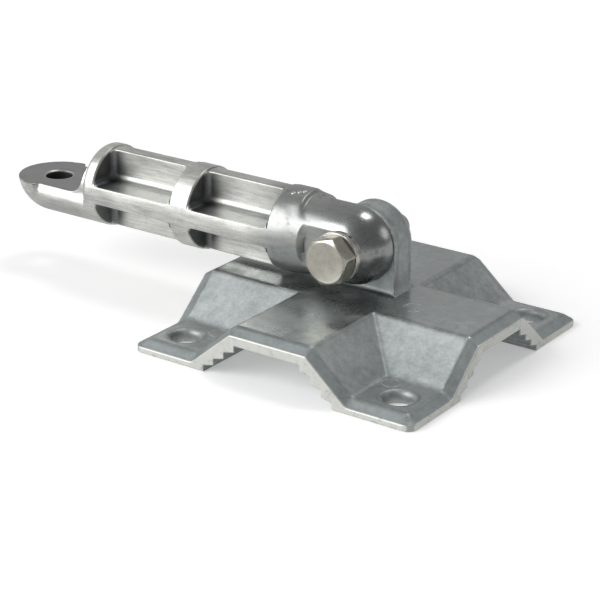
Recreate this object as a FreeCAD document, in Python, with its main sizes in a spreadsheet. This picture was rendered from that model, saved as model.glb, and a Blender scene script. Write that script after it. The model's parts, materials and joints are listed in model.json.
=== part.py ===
import FreeCAD, Part
import math
import os
import Sketcher

# Tilting tie foot: a square saddle base with an upright ear, and a slotted arm that tilts on one M8 bolt.
# Millimetres. The origin is the centre of the base on the ground, +Z up. The arm lies along -X and its
# hinge axis runs along Y, with the bolt head on the -Y side.

doc = FreeCAD.newDocument("tie_foot")

SIZES = {
    # saddle base
    "base_size": 95, "base_corner": 3.5, "rim_width": 3.4, "rim_drop": 2.2, "pad_height": 3.9,
    "channel_height": 10.5, "channel_top": 22.4, "channel_foot": 44, "tooth_fall": 0.9,
    "roof_thick": 5, "crest_wall": 1.6, "foot_wall": 4.3,
    "hole_share": 0.573, "hole_bore": 8.4, "hole_round": 1.8,
    "ear_width": 22.6, "ear_thick": 9, "ear_offset": 0.6, "ear_fillet": 1.4,
    # arm, from the hinge outwards
    "arm_radius": 13, "arm_gap": 0.8, "neck_step": 1, "ball_back": 1.3, "shoulder_gap": 2.6, "lap_gap": 0.2,
    "seat_depth": 1.8, "neck_length": 3.3, "collar_edge": 0.9, "collar_length": 8.1,
    "inner_bay_length": 29, "middle_ring": 7, "outer_bay_length": 29.9, "end_ring": 6.3,
    "tongue_length": 18.5, "web_upright": 5, "web_level": 5.6, "web_fillet": 2.2, "face_fillet": 4.5,
    "eye_bore": 8.2, "eye_round": 1.3, "eye_drop": 1.2,
    # bolt, washers and nut
    "bolt_size": 8, "bolt_tail": 3.55, "bolt_point": 0.9, "hex_flats": 13, "head_height": 5.3,
    "head_disc": 12.2, "head_cone": 0.8, "dimple_width": 4.4, "dimple_depth": 0.3,
    "pivot_clearance": 0.08, "washer_clearance": 0.25, "play": 0.05,
    "plain_width": 15, "plain_thick": 1.6, "spring_width": 14.1, "spring_thick": 2, "spring_slot": 1,
    "nut_washer_width": 16, "nut_height": 6.4, "nut_hex_height": 4.5, "nut_lip": 0.5, "crown_wall": 0.7,
    "ring_wall": 1.1, "ring_height": 1.2,
}

sheet = doc.addObject("Spreadsheet::Sheet", "Sizes")
for row, (alias, value) in enumerate(SIZES.items(), start=1):
    sheet.set(f"A{row}", alias)
    sheet.set(f"B{row}", str(value))
    sheet.setAlias(f"B{row}", alias)
doc.recompute()


def size(text):
    """Turn a formula of plain size names into one that reads the sheet."""
    words = []
    word = ""
    for letter in text + " ":
        if letter.isalnum() or letter == "_":
            word += letter
            continue
        words.append("Sizes." + word if word in SIZES else word)
        words.append(letter)
        word = ""
    return "".join(words).strip()


def new_body(label):
    body = doc.addObject("PartDesign::Body", label)
    body.Label = label
    return body


def attach(item, body, plane):
    origin_plane = next(feature for feature in body.Origin.OriginFeatures if feature.Role == plane)
    item.AttachmentSupport = [(origin_plane, "")]
    item.MapMode = "FlatFace"


def new_sketch(body, name, plane, offset="0"):
    """A sketch on one of the body's own planes, moved along that plane's normal by a formula."""
    sketch = body.newObject("Sketcher::SketchObject", name)
    attach(sketch, body, plane)
    sketch.setExpression("AttachmentOffset.Base.z", size(offset))
    return sketch


def place_point(sketch, edge, end, across, along):
    """Fix one point of a sketch by two formulas."""
    for kind, formula in (("DistanceX", across), ("DistanceY", along)):
        number = sketch.addConstraint(Sketcher.Constraint(kind, edge, end, value_of(formula)))
        sketch.setExpression(f"Constraints[{number}]", size(formula))


def value_of(formula):
    """The present value of a formula, which gives a sketch its starting shape."""
    return float(sheet.evalExpression(size(formula).replace("Sizes.", "")))


def outline(sketch, points):
    """A closed outline of straight edges through points given as pairs of formulas."""
    corners = [FreeCAD.Vector(value_of(across), value_of(along), 0) for across, along in points]
    first = sketch.GeometryCount
    count = len(points)
    for index in range(count):
        sketch.addGeometry(Part.LineSegment(corners[index], corners[(index + 1) % count]))
    for index in range(count):
        here = first + index
        after = first + (index + 1) % count
        sketch.addConstraint(Sketcher.Constraint("Coincident", here, 2, after, 1))
    for index, (across, along) in enumerate(points):
        place_point(sketch, first + index, 1, across, along)


def ring(sketch, across, along, width):
    """A circle whose centre and width are formulas."""
    centre = FreeCAD.Vector(value_of(across), value_of(along), 0)
    number = sketch.addGeometry(Part.Circle(centre, FreeCAD.Vector(0, 0, 1), value_of(width) / 2))
    place_point(sketch, number, 3, across, along)
    fixed = sketch.addConstraint(Sketcher.Constraint("Diameter", number, value_of(width)))
    sketch.setExpression(f"Constraints[{fixed}]", size(width))


def cut_with_arc(sketch, centre, radius, angles, points):
    """A closed outline: an arc, and straight edges that lead from its end back to its start."""
    middle = FreeCAD.Vector(value_of(centre[0]), value_of(centre[1]), 0)
    circle = Part.Circle(middle, FreeCAD.Vector(0, 0, 1), value_of(radius))
    arc = sketch.addGeometry(Part.ArcOfCircle(circle, *angles))
    place_point(sketch, arc, 3, *centre)
    fixed = sketch.addConstraint(Sketcher.Constraint("Radius", arc, value_of(radius)))
    sketch.setExpression(f"Constraints[{fixed}]", size(radius))
    places = [FreeCAD.Vector(value_of(across), value_of(along), 0) for across, along in points]
    lines = []
    for near, far in zip(places, places[1:]):
        lines.append(sketch.addGeometry(Part.LineSegment(near, far)))
    sketch.addConstraint(Sketcher.Constraint("Coincident", arc, 2, lines[0], 1))
    for near, far in zip(lines, lines[1:]):
        sketch.addConstraint(Sketcher.Constraint("Coincident", near, 2, far, 1))
    sketch.addConstraint(Sketcher.Constraint("Coincident", lines[-1], 2, arc, 1))
    for line, (across, along) in zip(lines[1:], points[1:-1]):
        place_point(sketch, line, 1, across, along)
    for angle, end, point in ((angles[0], 1, points[-1]), (angles[1], 2, points[0])):
        upright = abs(math.sin(angle)) > 0.5
        kind, formula = ("DistanceX", point[0]) if upright else ("DistanceY", point[1])
        number = sketch.addConstraint(Sketcher.Constraint(kind, arc, end, value_of(formula)))
        sketch.setExpression(f"Constraints[{number}]", size(formula))


def pad(body, name, sketch, length, back=False, both=False):
    feature = body.newObject("PartDesign::Pad", name)
    feature.Profile = sketch
    feature.setExpression("Length", size(length))
    feature.Reversed = back
    feature.Midplane = both
    sketch.Visibility = False
    return feature


def pocket(body, name, sketch, length=None, back=False, both=False):
    """A cut along the sketch's normal, through everything when no length is given."""
    doc.recompute()
    before = body.Shape.Volume
    feature = body.newObject("PartDesign::Pocket", name)
    feature.Profile = sketch
    if length is None:
        feature.Type = "ThroughAll"
    else:
        feature.setExpression("Length", size(length))
    feature.Reversed = back
    feature.Midplane = both
    doc.recompute()
    if body.Shape.Volume >= before - 1e-6:
        raise RuntimeError(f"{name} cuts nothing")
    return feature


def loft(body, name, sketches):
    feature = body.newObject("PartDesign::AdditiveLoft", name)
    feature.Profile = sketches[0]
    feature.Sections = sketches[1:]
    feature.Ruled = True
    return feature


def edges_where(feature, test):
    """The names of the feature's edges that a test accepts; the pole of a sphere has no length."""
    doc.recompute()
    names = []
    for number, edge in enumerate(feature.Shape.Edges, start=1):
        if edge.Length > 1e-6 and test(edge):
            names.append(f"Edge{number}")
    return names


def fillet(body, name, feature, edges, radius):
    rounded = body.newObject("PartDesign::Fillet", name)
    rounded.Base = (feature, edges)
    rounded.setExpression("Radius", size(radius))
    return rounded


def all_near(edge, **limits):
    """True when every point along the edge lies in the given range of x, y or z."""
    for point in edge.discretize(5):
        for axis, (low, high) in limits.items():
            if not low - 1e-3 <= getattr(point, axis) <= high + 1e-3:
                return False
    return True


def is_round(edge, width):
    return hasattr(edge.Curve, "Radius") and abs(edge.Curve.Radius - width / 2) < 1e-3


def read(name):
    return float(getattr(sheet, name))


# ---------------------------------------------------------------- places worked out from the sizes
half = "(base_size / 2)"
inner_half = "(base_size / 2 - rim_width)"
top_height = "(channel_height + roof_thick)"
top_half = "(channel_top / 2 + crest_wall)"
foot_half = "(channel_foot / 2 + foot_wall)"
flank_slope = f"(({foot_half} - {top_half}) / ({top_height} - pad_height))"
hole_place = f"({foot_half} + hole_share * ({inner_half} - {foot_half}))"
mouth_round = f"min(hole_round; {inner_half} - {hole_place} - hole_bore / 2 - 0.1)"
hinge_height = f"({top_height} + arm_gap + arm_radius)"

neck_radius = "(arm_radius - neck_step)"
lap_face = "(ear_offset - lap_gap)"
seat_face = f"({neck_radius} - seat_depth)"
shoulder = "(ear_width / 2 + shoulder_gap)"
collar_start = f"({shoulder} + neck_length)"
inner_bay = f"({collar_start} + collar_length)"
outer_bay = f"({inner_bay} + inner_bay_length + middle_ring)"
end_face = f"({outer_bay} + outer_bay_length + end_ring)"
eye_reach = f"({end_face} + tongue_length)"
tip_reach = f"({eye_reach} + arm_radius)"

ear_back = "(ear_offset + ear_thick)"
nut_seat = f"({ear_back} + plain_thick)"
spring_seat = f"({seat_face} + play)"
washer_seat = f"({spring_seat} + spring_thick)"
head_seat = f"({washer_seat} + plain_thick)"
bolt_length = f"({head_seat} + {nut_seat} + nut_height + bolt_tail)"
ring_width = "(bolt_size + 2 * ring_wall)"
pivot_bore = "(bolt_size + 2 * pivot_clearance)"


# ---------------------------------------------------------------- saddle base
def arch_section(body, name, plane, place, drop):
    """The outside of one arch: a flat top and two flanks, carried down to the ground."""
    sketch = new_sketch(body, name, plane, place)
    top = f"({top_height} - {drop})"
    foot = f"({top_half} + {top} * {flank_slope})"
    outline(sketch, [(f"-{foot}", "0"), (foot, "0"), (top_half, top), (f"-{top_half}", top)])
    return sketch


def tooth_outline(sketch):
    """The hollow under an arch: three toothed steps on each side and a flat roof."""
    step = "((channel_foot - channel_top) / 6)"
    rise = "((channel_height - 3 * tooth_fall) / 4)"
    side = [("channel_foot / 2", "-1")]
    for count in range(3):
        across = f"channel_foot / 2 - {count} * {step}"
        tip = f"{count + 1} * {rise} + {count} * tooth_fall"
        root = f"{count + 1} * {rise} + {count + 1} * tooth_fall"
        side.append((across, tip))
        side.append((f"channel_foot / 2 - {count + 1} * {step}", root))
    side.append(("channel_top / 2", "channel_height"))
    mirrored = [(f"-({across})", along) for across, along in reversed(side)]
    outline(sketch, side + mirrored)


def make_base():
    body = new_body("saddle_base")
    sketch = new_sketch(body, "base_plan", "XY_Plane")
    outline(sketch, [(f"-{half}", f"-{half}"), (half, f"-{half}"), (half, half), (f"-{half}", half)])
    plate = pad(body, "base_plate", sketch, "pad_height")
    corners = edges_where(plate, lambda edge: abs(edge.tangentAt(edge.FirstParameter).z) > 0.9)
    rounded = fillet(body, "base_corners", plate, corners, "base_corner")
    pad_top = (read("pad_height"), read("pad_height"))
    rim = edges_where(rounded, lambda edge: all_near(edge, z=pad_top))
    bevel = body.newObject("PartDesign::Chamfer", "base_rim")
    bevel.Base = (rounded, rim)
    bevel.ChamferType = "Two distances"
    bevel.setExpression("Size", size("rim_drop"))
    bevel.setExpression("Size2", size("rim_width"))
    doc.recompute()
    top_face = max(bevel.Shape.Faces, key=lambda face: face.CenterOfMass.z)
    if abs(top_face.BoundBox.XMax - read("base_size") / 2 + read("rim_width")) > 0.01:
        bevel.FlipDirection = True
    doc.recompute()
    for direction, plane in (("x", "YZ_Plane"), ("y", "XZ_Plane")):
        sections = []
        places = [(f"-{half}", "rim_drop"), (f"-{inner_half}", "0"), (inner_half, "0"), (half, "rim_drop")]
        for number, (place, drop) in enumerate(places):
            sections.append(arch_section(body, f"arch_{direction}_{number}", plane, place, drop))
        loft(body, f"arch_{direction}", sections)
        doc.recompute()
    for direction, plane in (("x", "YZ_Plane"), ("y", "XZ_Plane")):
        sketch = new_sketch(body, f"channel_{direction}_outline", plane)
        tooth_outline(sketch)
        pocket(body, f"channel_{direction}", sketch, "base_size + 2", both=True)
    sketch = new_sketch(body, "screw_plan", "XY_Plane")
    for across in (f"-{hole_place}", hole_place):
        for along in (f"-{hole_place}", hole_place):
            ring(sketch, across, along, "hole_bore")
    holes = pocket(body, "screw_holes", sketch, back=True)
    mouths = edges_where(holes, lambda edge: is_round(edge, read("hole_bore")) and all_near(edge, z=pad_top))
    fillet(body, "screw_mouths", holes, mouths, mouth_round)
    sketch = new_sketch(body, "ear_stem_outline", "XZ_Plane", "-ear_offset")
    side = "ear_width / 2"
    roof = "(channel_height + roof_thick / 2)"
    outline(sketch, [(f"-{side}", roof), (side, roof), (side, hinge_height), (f"-{side}", hinge_height)])
    pad(body, "ear_stem", sketch, "ear_thick", back=True)
    sketch = new_sketch(body, "ear_crown_outline", "XZ_Plane", "-ear_offset")
    ring(sketch, "0", hinge_height, "ear_width")
    crown = pad(body, "ear_crown", sketch, "ear_thick", back=True)
    roof_top = (value_of(top_height), value_of(top_height))
    ear_side = read("ear_width") / 2
    ear_y = (read("ear_offset"), read("ear_offset") + read("ear_thick"))
    root = edges_where(crown, lambda edge: all_near(edge, x=(-ear_side, ear_side), y=ear_y, z=roof_top))
    fillet(body, "ear_root", crown, root, "ear_fillet")
    sketch = new_sketch(body, "ear_bore_outline", "XZ_Plane", "-ear_offset")
    ring(sketch, "0", hinge_height, pivot_bore)
    pocket(body, "ear_bore", sketch, back=False)
    return body


# ---------------------------------------------------------------- tie arm, drawn about its hinge axis
def round_end(body, name, radius, place):
    """Close one end of the arm with a ball about the arm's own axis."""
    ball = body.newObject("PartDesign::AdditiveSphere", name)
    attach(ball, body, "XY_Plane")
    ball.setExpression("Radius", size(radius))
    ball.setExpression("AttachmentOffset.Base.x", size(f"-{place}"))
    doc.recompute()


def make_arm():
    body = new_body("tie_arm")
    body.setExpression("Placement.Base.z", size(hinge_height))
    sketch = new_sketch(body, "barrel_section", "YZ_Plane", f"-{collar_start}")
    ring(sketch, "0", "0", "2 * arm_radius")
    barrel = pad(body, "barrel", sketch, f"{eye_reach} - {collar_start}", back=True)
    rim = edges_where(barrel, lambda edge: all_near(edge, x=(-value_of(collar_start), 0)))
    fillet(body, "collar_rim", barrel, rim, "collar_edge")
    sketch = new_sketch(body, "neck_section", "YZ_Plane", "-ball_back")
    ring(sketch, "0", "0", f"2 * {neck_radius}")
    pad(body, "neck", sketch, f"{collar_start} - ball_back + collar_length / 2", back=True)
    round_end(body, "ball", neck_radius, "ball_back")
    round_end(body, "tip", "arm_radius", eye_reach)
    sketch = new_sketch(body, "eye_flat_outline", "XZ_Plane")
    across = f"-({end_face} + face_fillet)"
    along = "(face_fillet - eye_drop)"
    far = f"-({tip_reach} + 2)"
    high = "arm_radius + 2"
    quarter = math.pi / 2
    cut_with_arc(sketch, (across, along), "face_fillet", (-quarter, 0),
                 [(f"-{end_face}", along), (f"-{end_face}", high), (far, high), (far, "-eye_drop"),
                  (across, "-eye_drop")])
    pocket(body, "eye_flat", sketch, "2 * arm_radius + 2", both=True)
    bore_eye(body)
    cut_bays(body)
    cut_knuckle(body)
    return body


def bore_eye(body):
    """Bore the eye through the flat and round the mouth of its hole."""
    eye = f"-{eye_reach}"
    sketch = new_sketch(body, "eye_plan", "XY_Plane")
    ring(sketch, eye, "0", "eye_bore")
    hole = pocket(body, "eye_hole", sketch, "2 * arm_radius + 2", both=True)
    level = (-read("eye_drop"), -read("eye_drop"))
    mouth = edges_where(hole, lambda edge: is_round(edge, read("eye_bore")) and all_near(edge, z=level))
    fillet(body, "eye_mouth", hole, mouth, "eye_round")


def cut_bays(body):
    """Cut four hollows in each bay, which leaves upright and level webs that cross on the axis."""
    for bay, start in (("inner_bay", inner_bay), ("outer_bay", outer_bay)):
        sketch = new_sketch(body, f"{bay}_section", "YZ_Plane", f"-{start}")
        for across in (-1, 1):
            for along in (-1, 1):
                near = (f"{across} * web_upright / 2", f"{along} * web_level / 2")
                far = (f"{across} * (arm_radius + 2)", f"{along} * (arm_radius + 2)")
                outline(sketch, [near, (far[0], near[1]), far, (near[0], far[1])])
        hollow = pocket(body, bay, sketch, f"{bay}_length")
        side = read("web_upright") / 2
        level = read("web_level") / 2
        span = (-value_of(start) - read(f"{bay}_length"), -value_of(start))

        def is_root(edge):
            middle = edge.CenterOfMass
            along_axis = abs(abs(middle.y) - side) < 1e-3 and abs(abs(middle.z) - level) < 1e-3
            return along_axis and all_near(edge, x=span)

        fillet(body, f"{bay}_roots", hollow, edges_where(hollow, is_root), "web_fillet")


def cut_knuckle(body):
    """Halve the inner end where it laps the ear, sink the seat for the bolt head and bore it."""
    sketch = new_sketch(body, "lap_plan", "XY_Plane")
    wide = "arm_radius + 2"
    outline(sketch, [(f"-{shoulder}", lap_face), (wide, lap_face), (wide, wide), (f"-{shoulder}", wide)])
    pocket(body, "lap", sketch, "2 * arm_radius + 2", both=True)
    sketch = new_sketch(body, "seat_outline", "XZ_Plane", seat_face)
    ring(sketch, "0", "0", f"2 * {shoulder}")
    pocket(body, "seat", sketch, "arm_radius", back=True)
    sketch = new_sketch(body, "pivot_outline", "XZ_Plane")
    ring(sketch, "0", "0", pivot_bore)
    pocket(body, "pivot_bore", sketch, "2 * arm_radius + 2", both=True)


# ---------------------------------------------------------------- bolt, washers and nut
# Each is drawn along its own +Z, which points along +Y once it is placed on the hinge axis.
along_hinge = FreeCAD.Rotation(FreeCAD.Vector(1, 0, 0), -90)


def on_hinge(label, place):
    """A body on the hinge axis, with its own origin at the given place along Y."""
    body = new_body(label)
    body.Placement = FreeCAD.Placement(FreeCAD.Vector(0, 0, 0), along_hinge)
    body.setExpression("Placement.Base.y", size(place))
    body.setExpression("Placement.Base.z", size(hinge_height))
    return body


def hexagon(sketch, flats):
    """Six corners, the first lying along the sketch's X axis."""
    corner = f"({flats}) / sqrt(3)"
    points = []
    for turn in range(6):
        across = round(math.cos(math.radians(60 * turn)), 6)
        rise = math.sin(math.radians(60 * turn))
        along = 0 if abs(rise) < 1e-6 else math.copysign(0.5, rise)
        points.append((f"{across} * {corner}", f"{along} * ({flats})"))
    outline(sketch, points)


def turned(body, name, points, cut=False):
    """A profile of radius and height turned about the body's Z axis."""
    sketch = new_sketch(body, f"{name}_profile", "XZ_Plane")
    outline(sketch, points)
    doc.recompute()
    before = body.Shape.Volume if body.Tip else 0
    feature = body.newObject("PartDesign::Groove" if cut else "PartDesign::Revolution", name)
    feature.Profile = sketch
    feature.ReferenceAxis = (sketch, ["V_Axis"])
    doc.recompute()
    if cut and body.Shape.Volume >= before - 1e-6:
        raise RuntimeError(f"{name} cuts nothing")
    return feature


def trim_corners(body, name, face, inward, disc):
    """Turn a hexagon's corners down to a cone that ends in a flat disc at the given height."""
    reach = "hex_flats"
    fall = f"(head_cone * (hex_flats - {disc} / 2) / (hex_flats / sqrt(3) - {disc} / 2))"
    beyond = f"({face} - {inward} * 2)"
    turned(body, name, [(f"{disc} / 2", face), (reach, f"{face} + {inward} * {fall}"), (reach, beyond),
                        (f"{disc} / 2", beyond)], cut=True)


def make_bolt():
    body = on_hinge("hinge_bolt", f"-{head_seat}")
    root = "-head_height / 2"
    side = "bolt_size / 2"
    turned(body, "shank", [("0", root), (side, root), (side, f"{bolt_length} - bolt_point"),
                           (f"{side} - bolt_point", bolt_length), ("0", bolt_length)])
    sketch = new_sketch(body, "head_outline", "XY_Plane")
    hexagon(sketch, "hex_flats")
    pad(body, "head", sketch, "head_height", back=True)
    trim_corners(body, "head_cone_cut", "-head_height", 1, "head_disc")
    sketch = new_sketch(body, "dimple_outline", "XY_Plane", "-head_height")
    ring(sketch, "0", "0", "dimple_width")
    pocket(body, "dimple", sketch, "dimple_depth", back=True)
    return body


def flat_ring(label, place, width, bore, thick):
    body = on_hinge(label, place)
    sketch = new_sketch(body, f"{label}_outline", "XY_Plane")
    ring(sketch, "0", "0", width)
    ring(sketch, "0", "0", bore)
    pad(body, f"{label}_disc", sketch, thick)
    return body


def make_washers():
    bore = "bolt_size + 2 * washer_clearance"
    flat_ring("head_washer", f"-{head_seat}", "plain_width", bore, "plain_thick")
    flat_ring("nut_washer", ear_back, "nut_washer_width", bore, "plain_thick")
    spring = flat_ring("spring_washer", f"-{washer_seat}", "spring_width", bore, "spring_thick")
    sketch = new_sketch(spring, "split_outline", "XY_Plane")
    outline(sketch, [("-spring_slot / 2", "0"), ("spring_slot / 2", "0"),
                     ("spring_slot / 2", "spring_width"), ("-spring_slot / 2", "spring_width")])
    pocket(spring, "split", sketch, back=True)


def make_nut():
    """A hexagon with a round collar, whose groove holds the locking ring."""
    groove_top = "(nut_height - nut_lip)"
    groove_foot = f"({groove_top} - ring_height)"
    body = on_hinge("lock_nut", nut_seat)
    sketch = new_sketch(body, "nut_outline", "XY_Plane")
    hexagon(sketch, "hex_flats")
    pad(body, "nut_hexagon", sketch, "nut_hex_height")
    trim_corners(body, "nut_foot_cone", "0", 1, "head_disc")
    trim_corners(body, "nut_top_cone", "nut_hex_height", -1, "head_disc")
    sketch = new_sketch(body, "collar_outline", "XY_Plane")
    ring(sketch, "0", "0", f"{ring_width} + 2 * crown_wall")
    collar = pad(body, "nut_crown", sketch, "nut_height")
    rim_height = (read("nut_height"), read("nut_height"))
    rim = edges_where(collar, lambda edge: all_near(edge, z=rim_height))
    fillet(body, "nut_crown_rim", collar, rim, "nut_lip")
    sketch = new_sketch(body, "nut_bore_outline", "XY_Plane")
    ring(sketch, "0", "0", "bolt_size")
    pocket(body, "nut_bore", sketch, back=True)
    turned(body, "ring_groove", [("bolt_size / 4", groove_foot), (f"{ring_width} / 2", groove_foot),
                                 (f"{ring_width} / 2", groove_top), ("bolt_size / 4", groove_top)], cut=True)
    flat_ring("lock_ring", f"{nut_seat} + {groove_foot}", ring_width, "bolt_size", "ring_height")


# ---------------------------------------------------------------- build, check and write
make_base()
make_arm()
make_bolt()
make_washers()
make_nut()
doc.recompute()

for item in doc.Objects:
    if "Invalid" in item.State or "Error" in item.State:
        raise RuntimeError(f"{item.Name} failed: {item.State}")

os.makedirs("parts", exist_ok=True)
bodies = [item for item in doc.Objects if item.TypeId == "PartDesign::Body"]
for body in bodies:
    if body.Shape.isNull() or not body.Shape.isValid() or len(body.Shape.Solids) != 1:
        raise RuntimeError(f"{body.Label} is not one sound solid")
for body in bodies:
    body.Shape.exportStep(f"parts/{body.Label}.step")
    box = body.Shape.BoundBox
    print(f"{body.Label}: {body.Shape.Volume / 1000:.2f} cm3, x {box.XMin:.2f} to {box.XMax:.2f}, "
          f"y {box.YMin:.2f} to {box.YMax:.2f}, z {box.ZMin:.2f} to {box.ZMax:.2f}")
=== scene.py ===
import json
import math
import bmesh
import bpy
import numpy as np
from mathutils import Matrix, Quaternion, Vector


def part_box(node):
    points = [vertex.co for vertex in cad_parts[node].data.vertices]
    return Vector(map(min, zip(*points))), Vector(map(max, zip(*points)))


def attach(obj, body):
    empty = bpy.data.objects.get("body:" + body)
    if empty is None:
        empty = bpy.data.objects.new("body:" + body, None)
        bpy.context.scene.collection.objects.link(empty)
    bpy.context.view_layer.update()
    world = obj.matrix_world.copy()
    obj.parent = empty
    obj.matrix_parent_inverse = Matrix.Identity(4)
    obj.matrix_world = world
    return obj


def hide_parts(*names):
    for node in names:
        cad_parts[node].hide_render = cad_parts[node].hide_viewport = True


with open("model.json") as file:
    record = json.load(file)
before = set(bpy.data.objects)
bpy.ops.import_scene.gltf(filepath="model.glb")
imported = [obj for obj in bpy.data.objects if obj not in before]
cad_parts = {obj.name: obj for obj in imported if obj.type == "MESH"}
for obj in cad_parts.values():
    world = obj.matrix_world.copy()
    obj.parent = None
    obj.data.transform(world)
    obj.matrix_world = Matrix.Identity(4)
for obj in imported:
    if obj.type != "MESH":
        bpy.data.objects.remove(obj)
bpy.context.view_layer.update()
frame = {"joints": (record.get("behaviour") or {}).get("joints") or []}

# Hinged saddle foot with a tie eye. Shapes are worked out in millimetres and written in metres.
# The hinge axis runs along Y; the arm lies along -X and its bolt head is on the -Y side.

mm = 0.001
hinge = np.array(frame["joints"][0]["pos_m"]) / mm
sharpAngle = math.radians(48)
weldGap = 1.5e-6
shortEdge = 2e-7


# Corners of a CAD node's box, in millimetres
def boxOf(node):
    return [np.array(corner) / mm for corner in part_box(node)]


baseHigh = boxOf("saddle_base")[1]
armLow, armHigh = boxOf("tie_arm")
print("frame loaded, hinge at height", hinge[2])


# Smaller and larger of two arrays, with the corner between them rounded over a band of 2 * soft
def softMin(a, b, soft):
    share = np.clip(0.5 + 0.5 * (b - a) / soft, 0, 1)
    return b + (a - b) * share - soft * share * (1 - share)


def softMax(a, b, soft):
    return -softMin(-a, -b, soft)


# 0 before start, 1 after end, and a smooth rise of 3t^2 - 2t^3 between them
def ease(value, start, end):
    t = np.clip((value - start) / (end - start), 0, 1)
    return t * t * (3 - 2 * t)


# Angles of a quarter turn
def quarter(count):
    return np.linspace(0, math.pi / 2, count)


# Lines through all the marks, with steps no larger than the given one
def linesThrough(marks, step):
    runs = []
    for near, far in zip(marks, marks[1:]):
        runs.append(np.linspace(near, far, max(1, math.ceil((far - near) / step)) + 1))
    return np.unique(np.round(np.concatenate(runs), 6))


# Points of a grid joined by four-sided faces; a wrapped grid closes on itself
def gridFaces(rows, columns, wrapRows=False, wrapColumns=False):
    index = np.arange(rows * columns).reshape(rows, columns)
    if wrapRows:
        index = np.vstack([index, index[:1]])
    if wrapColumns:
        index = np.hstack([index, index[:, :1]])
    corners = [index[:-1, :-1], index[:-1, 1:], index[1:, 1:], index[1:, :-1]]
    return np.stack(corners, axis=-1).reshape(-1, 4)


class Shape:
    # Collects grids of points, in millimetres, that together make one closed surface or several
    def __init__(self):
        self.points = []
        self.faces = []
        self.count = 0

    def add(self, grid, wrapRows=False, wrapColumns=False, keep=None):
        faces = gridFaces(*grid.shape[:2], wrapRows, wrapColumns)
        if keep is not None:
            faces = faces[keep.ravel()]
        self.points.append(grid.reshape(-1, 3))
        self.faces.append(faces + self.count)
        self.count += grid.shape[0] * grid.shape[1]

    def mesh(self, name):
        made = bpy.data.meshes.new(name)
        points = np.concatenate(self.points) * mm
        made.from_pydata(points.tolist(), [], np.concatenate(self.faces).tolist())
        work = bmesh.new()
        work.from_mesh(made)
        bmesh.ops.remove_doubles(work, verts=work.verts, dist=weldGap)
        bmesh.ops.dissolve_degenerate(work, edges=work.edges, dist=shortEdge)
        loose = [point for point in work.verts if not point.link_faces]
        bmesh.ops.delete(work, geom=loose, context="VERTS")
        bmesh.ops.recalc_face_normals(work, faces=work.faces)
        work.to_mesh(made)
        work.free()
        return made


# Curvature at each point, 1/mm: how far the normals of its neighbours spread for each step along
# the surface; ridges are positive, valleys negative. It is kept as the attribute "ridge".
def markRidges(mesh):
    count = len(mesh.vertices)
    place = np.empty(count * 3, np.float32)
    mesh.vertices.foreach_get("co", place)
    place = place.reshape(-1, 3) / mm
    normal = np.empty(count * 3, np.float32)
    mesh.vertex_normals.foreach_get("vector", normal)
    normal = normal.reshape(-1, 3)
    ends = np.empty(len(mesh.edges) * 2, np.int32)
    mesh.edges.foreach_get("vertices", ends)
    a, b = ends.reshape(-1, 2).T
    step = place[b] - place[a]
    length = np.linalg.norm(step, axis=1) + 1e-6
    bend = np.einsum("ij,ij->i", normal[b] - normal[a], step) / length ** 2
    weight = np.minimum(length, 1.0)
    total = np.zeros(count)
    share = np.full(count, 1e-9)
    for end in (a, b):
        np.add.at(total, end, bend * weight)
        np.add.at(share, end, weight)
    value = total / share
    for turn in range(2):
        spread = np.zeros(count)
        near = np.full(count, 1e-9)
        for here, there in ((a, b), (b, a)):
            np.add.at(spread, here, value[there] / (length + 0.1))
            np.add.at(near, here, 1 / (length + 0.1))
        value = 0.5 * value + 0.5 * spread / near
    kept = mesh.attributes.new("ridge", "FLOAT", "POINT")
    kept.data.foreach_set("value", np.clip(value, -3, 3).astype(np.float32))


# Cuts a tool shape from a piece and keeps the finished mesh
def cutAway(piece, toolShape):
    tool = bpy.data.objects.new("cutter", toolShape.mesh("cutter"))
    bpy.context.scene.collection.objects.link(tool)
    cut = piece.modifiers.new("cut", "BOOLEAN")
    cut.object = tool
    cut.operation = "DIFFERENCE"
    cut.solver = "EXACT"
    bpy.context.view_layer.update()
    ready = piece.evaluated_get(bpy.context.evaluated_depsgraph_get())
    finished = bpy.data.meshes.new_from_object(ready)
    piece.modifiers.clear()
    piece.data = finished
    bpy.data.objects.remove(tool)


def newPiece(name, shape, cutters=()):
    piece = bpy.data.objects.new(name, shape.mesh(name))
    bpy.context.scene.collection.objects.link(piece)
    for cutter in cutters:
        cutAway(piece, cutter)
    mesh = piece.data
    mesh.name = name
    mesh.shade_smooth()
    markRidges(mesh)
    mesh.set_sharp_from_angle(angle=sharpAngle)
    flat = piece.modifiers.new("flat faces stay flat", "WEIGHTED_NORMAL")
    flat.keep_sharp = True
    print("made", name, len(mesh.polygons), "faces")
    return piece


def settle(piece, body, finish, slotName, *nodes):
    piece.data.materials.clear()
    piece.data.materials.append(finish)
    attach(piece, body)
    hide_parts(*nodes)


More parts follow.
